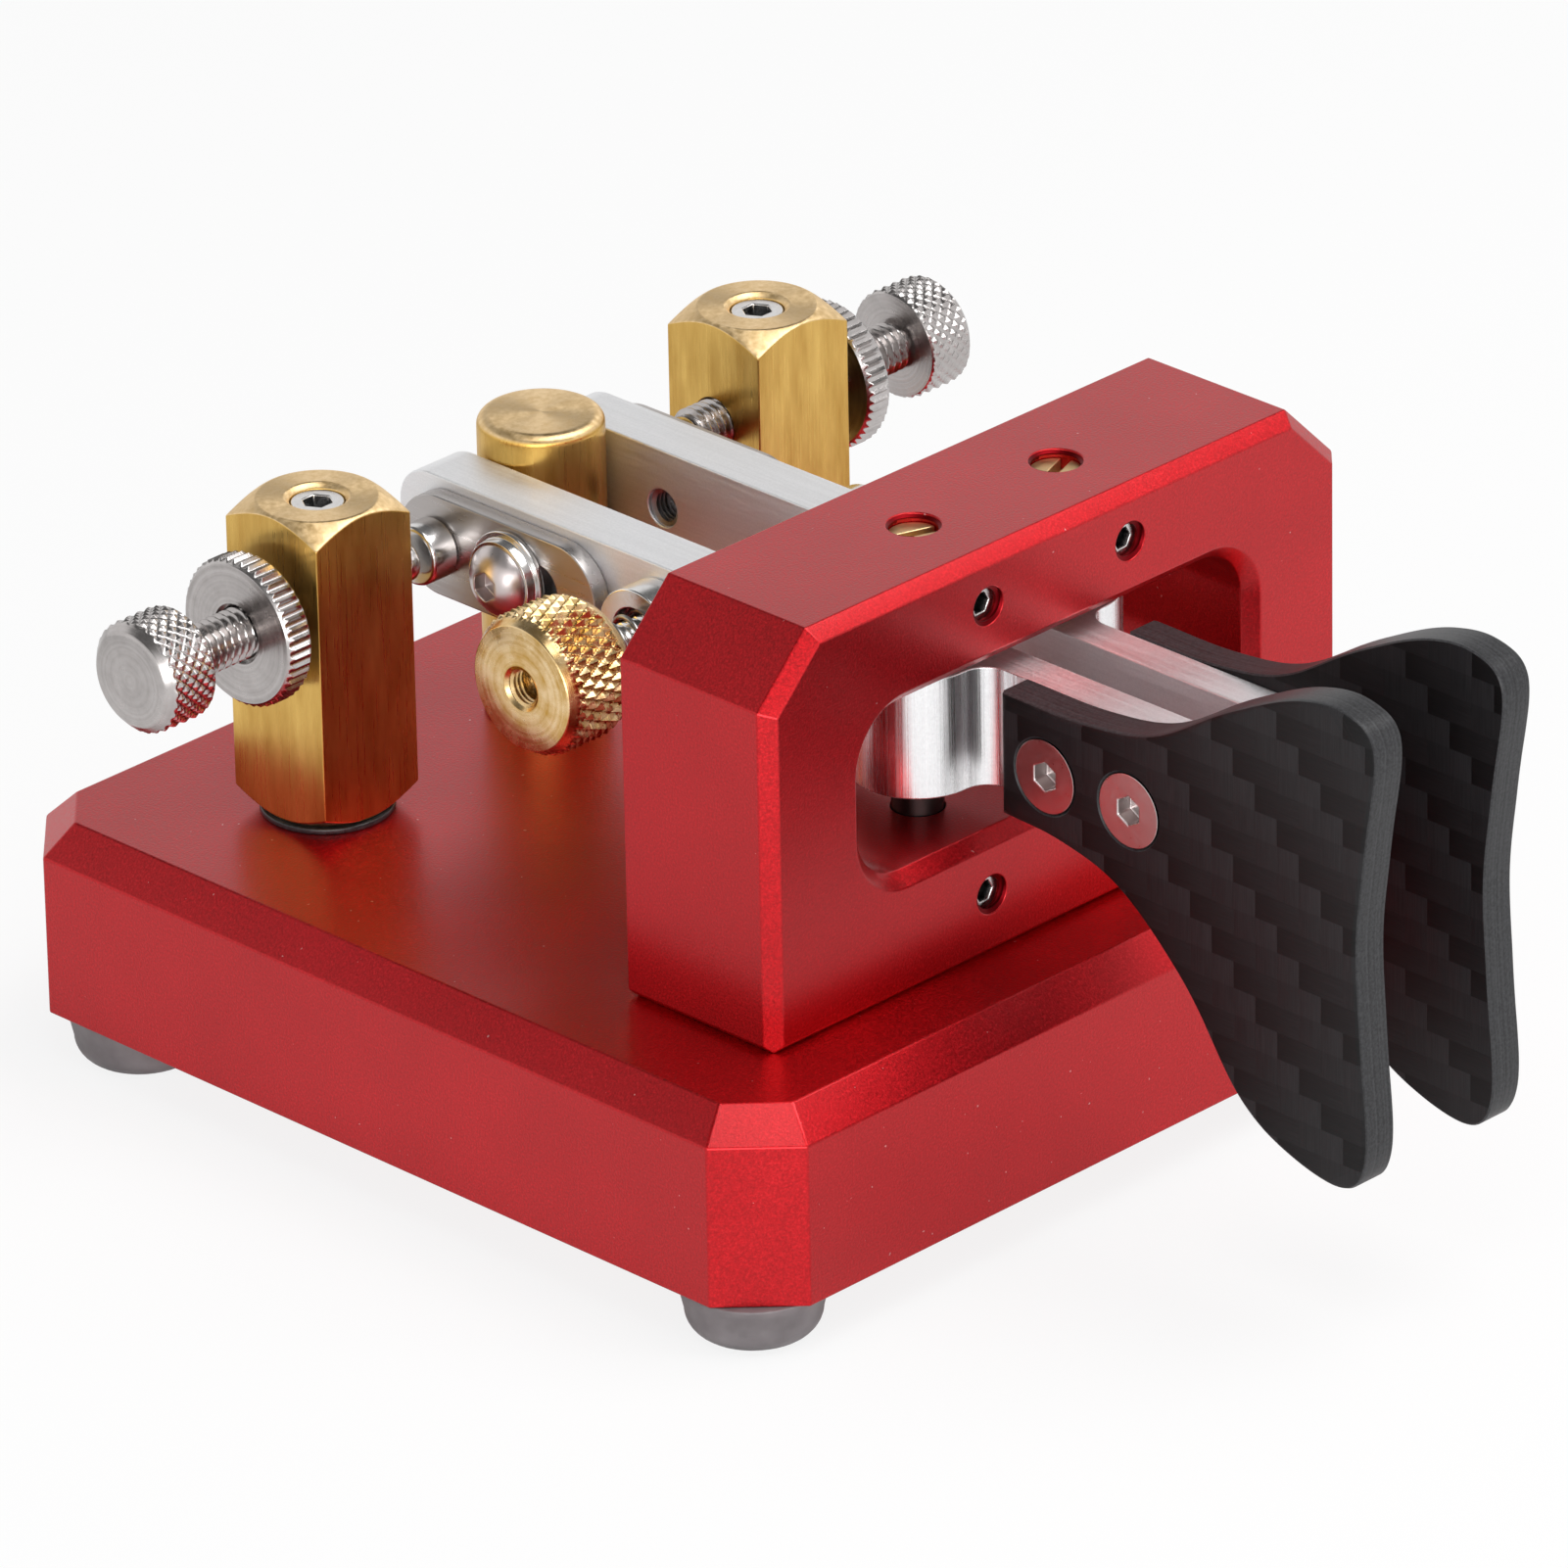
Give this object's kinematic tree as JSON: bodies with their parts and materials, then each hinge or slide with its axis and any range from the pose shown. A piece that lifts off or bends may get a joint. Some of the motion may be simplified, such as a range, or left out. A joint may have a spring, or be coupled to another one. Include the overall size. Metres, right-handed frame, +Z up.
{
  "type": "double paddle morse key",
  "caption": "Desktop morse key with sprung side by side levers, carbon finger paddles, a bridge frame, brass contact posts and knurled adjusters on a red base.",
  "frame": {"origin": "on the desk, under the middle of the key's overall outline", "axes": "+X to the operator's right, +Y away from the operator, +Z up"},
  "size_m": [0.0844, 0.111, 0.0512],
  "materials": {
    "red_anodised": "bead blasted, red anodised",
    "grey_rubber": "soft translucent grey",
    "brass": "brushed and knurled",
    "stainless": "bright",
    "nylon": "black, smooth",
    "black_plastic": "matte",
    "wire_sleeve": "smooth",
    "satin_aluminium": "satin",
    "carbon_fibre": "twill weave under clear resin",
    "polished_contact": "polished",
    "music_wire": "dark",
    "blackened_steel": "blackened"
  },
  "bodies": {
    "base": {"base_plate": "red_anodised", "pivot_frame": "red_anodised", "rubber_feet": "grey_rubber", "upper_pivot_screws": "brass", "stop_post": "brass", "left_contact_post": "brass", "right_contact_post": "brass", "frame_screws": "stainless", "pivot_lock_screws": "stainless", "post_screws": "stainless", "solder_lugs": "stainless", "post_set_screws": "stainless", "stop_post_screw": "stainless", "tension_post": "stainless", "tension_post_screw": "stainless", "tension_rod": "stainless", "jack_nut": "stainless", "post_insulating_washers": "nylon", "post_insulating_bushes": "nylon", "jack_socket": "black_plastic", "signal_wires": "wire_sleeve", "left_tension_spring": "music_wire", "right_tension_spring": "music_wire", "lower_pivot_screws": "blackened_steel"},
    "left_key": {"left_lever": "satin_aluminium", "left_paddle": "carbon_fibre", "left_paddle_screws": "stainless", "left_contact_plate": "stainless", "left_contact_button": "polished_contact", "left_plate_screw": "stainless", "left_plate_washers": "stainless", "left_spring_cup": "stainless"},
    "left_tip": {"left_contact_tip": "polished_contact"},
    "left_screw": {"left_contact_screw": "stainless"},
    "left_nut": {"left_lock_nut": "stainless"},
    "left_knob": {"left_tension_knob": "brass"},
    "right_key": {"right_lever": "satin_aluminium", "right_paddle": "carbon_fibre", "right_paddle_screws": "stainless", "right_contact_plate": "stainless", "right_contact_button": "polished_contact", "right_plate_screw": "stainless", "right_plate_washers": "stainless", "right_spring_cup": "stainless"},
    "right_tip": {"right_contact_tip": "polished_contact"},
    "right_screw": {"right_contact_screw": "stainless"},
    "right_nut": {"right_lock_nut": "stainless"},
    "right_knob": {"right_tension_knob": "brass"}
  },
  "joints": [
    {"name": "left_key_swing", "type": "hinge", "parent": "base", "child": "left_key", "pos_m": [-0.0074, -0.01013, 0.0363], "axis": [0, 0, 1], "range_deg": [0, 0.75], "stiffness_Nm_per_rad": 0.17, "springref_deg": -4.01, "deforming": ["left_tension_spring"]},
    {"name": "left_tip_feed", "type": "slide", "parent": "base", "child": "left_tip", "axis": [1, 0, 0], "range_m": [-0.0014, 0]},
    {"name": "left_screw_turn", "type": "hinge", "parent": "left_tip", "child": "left_screw", "pos_m": [-0.0375, 0.0356, 0.0363], "axis": [1, 0, 0], "range_deg": [-720, 0]},
    {"name": "left_nut_turn", "type": "hinge", "parent": "base", "child": "left_nut", "pos_m": [-0.0303, 0.0356, 0.0363], "axis": [1, 0, 0], "continuous": true},
    {"name": "left_knob_turn", "type": "hinge", "parent": "base", "child": "left_knob", "pos_m": [-0.0207, 0.01362, 0.0363], "axis": [1, 0, 0], "continuous": true},
    {"name": "right_key_swing", "type": "hinge", "parent": "base", "child": "right_key", "pos_m": [0.0074, -0.01013, 0.0363], "axis": [0, 0, -1], "range_deg": [0, 0.75], "stiffness_Nm_per_rad": 0.17, "springref_deg": -4.01, "deforming": ["right_tension_spring"]},
    {"name": "right_tip_feed", "type": "slide", "parent": "base", "child": "right_tip", "axis": [-1, 0, 0], "range_m": [-0.0014, 0]},
    {"name": "right_screw_turn", "type": "hinge", "parent": "right_tip", "child": "right_screw", "pos_m": [0.0375, 0.0356, 0.0363], "axis": [-1, 0, 0], "range_deg": [-720, 0]},
    {"name": "right_nut_turn", "type": "hinge", "parent": "base", "child": "right_nut", "pos_m": [0.0303, 0.0356, 0.0363], "axis": [-1, 0, 0], "continuous": true},
    {"name": "right_knob_turn", "type": "hinge", "parent": "base", "child": "right_knob", "pos_m": [0.0207, 0.01362, 0.0363], "axis": [-1, 0, 0], "continuous": true}
  ],
  "couplings": [
    {"joint": "left_screw_turn", "follows": "left_tip_feed", "rad_per_m": 8976},
    {"joint": "right_screw_turn", "follows": "right_tip_feed", "rad_per_m": 8976}
  ]
}
